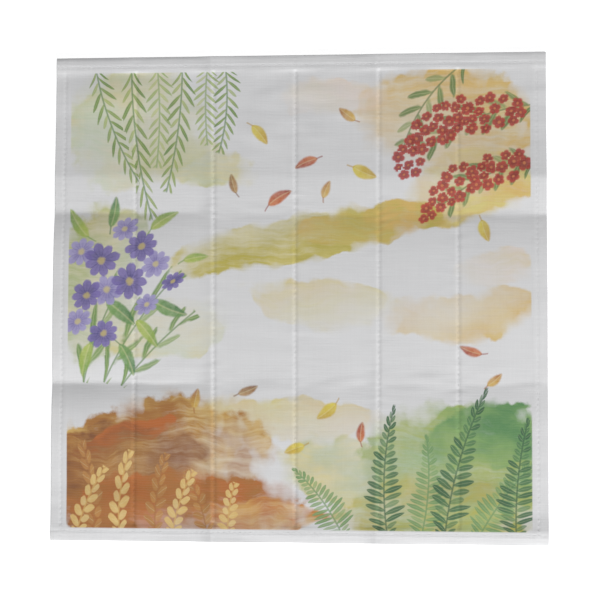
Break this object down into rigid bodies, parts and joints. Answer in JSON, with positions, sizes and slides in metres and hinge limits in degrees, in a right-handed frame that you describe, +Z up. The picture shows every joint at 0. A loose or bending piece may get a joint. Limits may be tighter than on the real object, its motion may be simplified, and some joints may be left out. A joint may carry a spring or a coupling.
{
  "type": "face cloth",
  "caption": "Square quilted gauze face cloth lying opened out flat, with a turned white hem, rows of running stitch and low fold creases.",
  "frame": {"origin": "middle of the underside, on the surface that the cloth lies on", "axes": "+Z up out of the printed face, +Y towards the print's top edge, +X towards its right edge"},
  "size_m": [0.34, 0.3358, 0.0052],
  "materials": {
    "gauze": "matt layered cotton gauze, white with a soft painted plant print inside a plain white hem"
  },
  "bodies": {
    "root": {"cloth": "gauze"}
  },
  "joints": []
}
